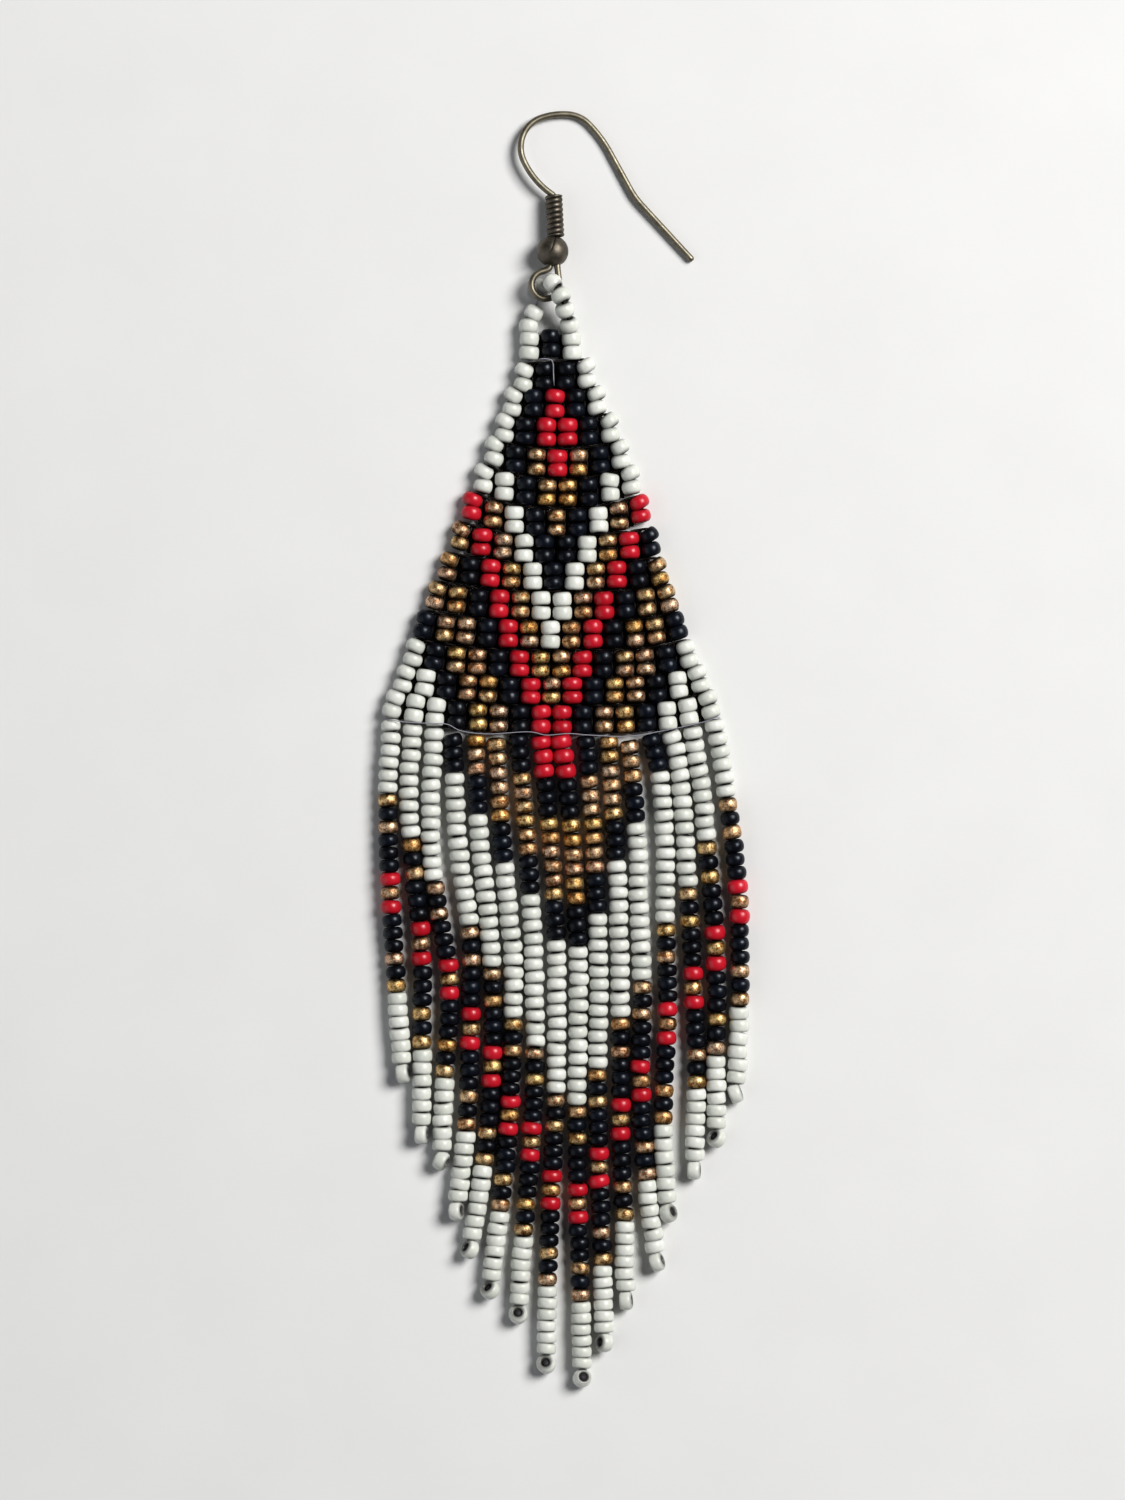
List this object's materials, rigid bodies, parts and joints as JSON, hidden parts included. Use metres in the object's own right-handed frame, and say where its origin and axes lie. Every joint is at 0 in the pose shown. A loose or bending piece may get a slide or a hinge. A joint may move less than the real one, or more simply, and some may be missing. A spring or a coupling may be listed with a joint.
{
  "type": "beaded fringe earring",
  "caption": "Fish-hook ear wire with a coil and a ball, carrying a triangular woven seed-bead panel with a pointed fringe of beaded strings.",
  "frame": {"origin": "on the surface the earring lies on, below the middle of its outline seen from above", "axes": "+Y from the fringe's tips towards the hook, +X to the right as seen from the front, +Z out of the front face; the earring lies flat on its back"},
  "size_m": [0.0377, 0.1293, 0.0041],
  "materials": {
    "seed_beads": "small glossy opaque glass beads in pale grey-green, black, red and metallic bronze",
    "ear_wire": "drawn wire, antique bronze plated, soft sheen",
    "hook_trim": "antique bronze plated, darker in the grooves, soft sheen"
  },
  "bodies": {
    "root": {"ear_hook": "ear_wire", "hook_coil": "hook_trim", "hook_ball": "hook_trim", "bead_loop": "seed_beads", "beaded_panel": "seed_beads", "fringe_strand_01": "seed_beads", "fringe_strand_02": "seed_beads", "fringe_strand_03": "seed_beads", "fringe_strand_04": "seed_beads", "fringe_strand_05": "seed_beads", "fringe_strand_06": "seed_beads", "fringe_strand_07": "seed_beads", "fringe_strand_08": "seed_beads", "fringe_strand_09": "seed_beads", "fringe_strand_10": "seed_beads", "fringe_strand_11": "seed_beads", "fringe_strand_12": "seed_beads", "fringe_strand_13": "seed_beads", "fringe_strand_14": "seed_beads", "fringe_strand_15": "seed_beads", "fringe_strand_16": "seed_beads"}
  },
  "joints": []
}
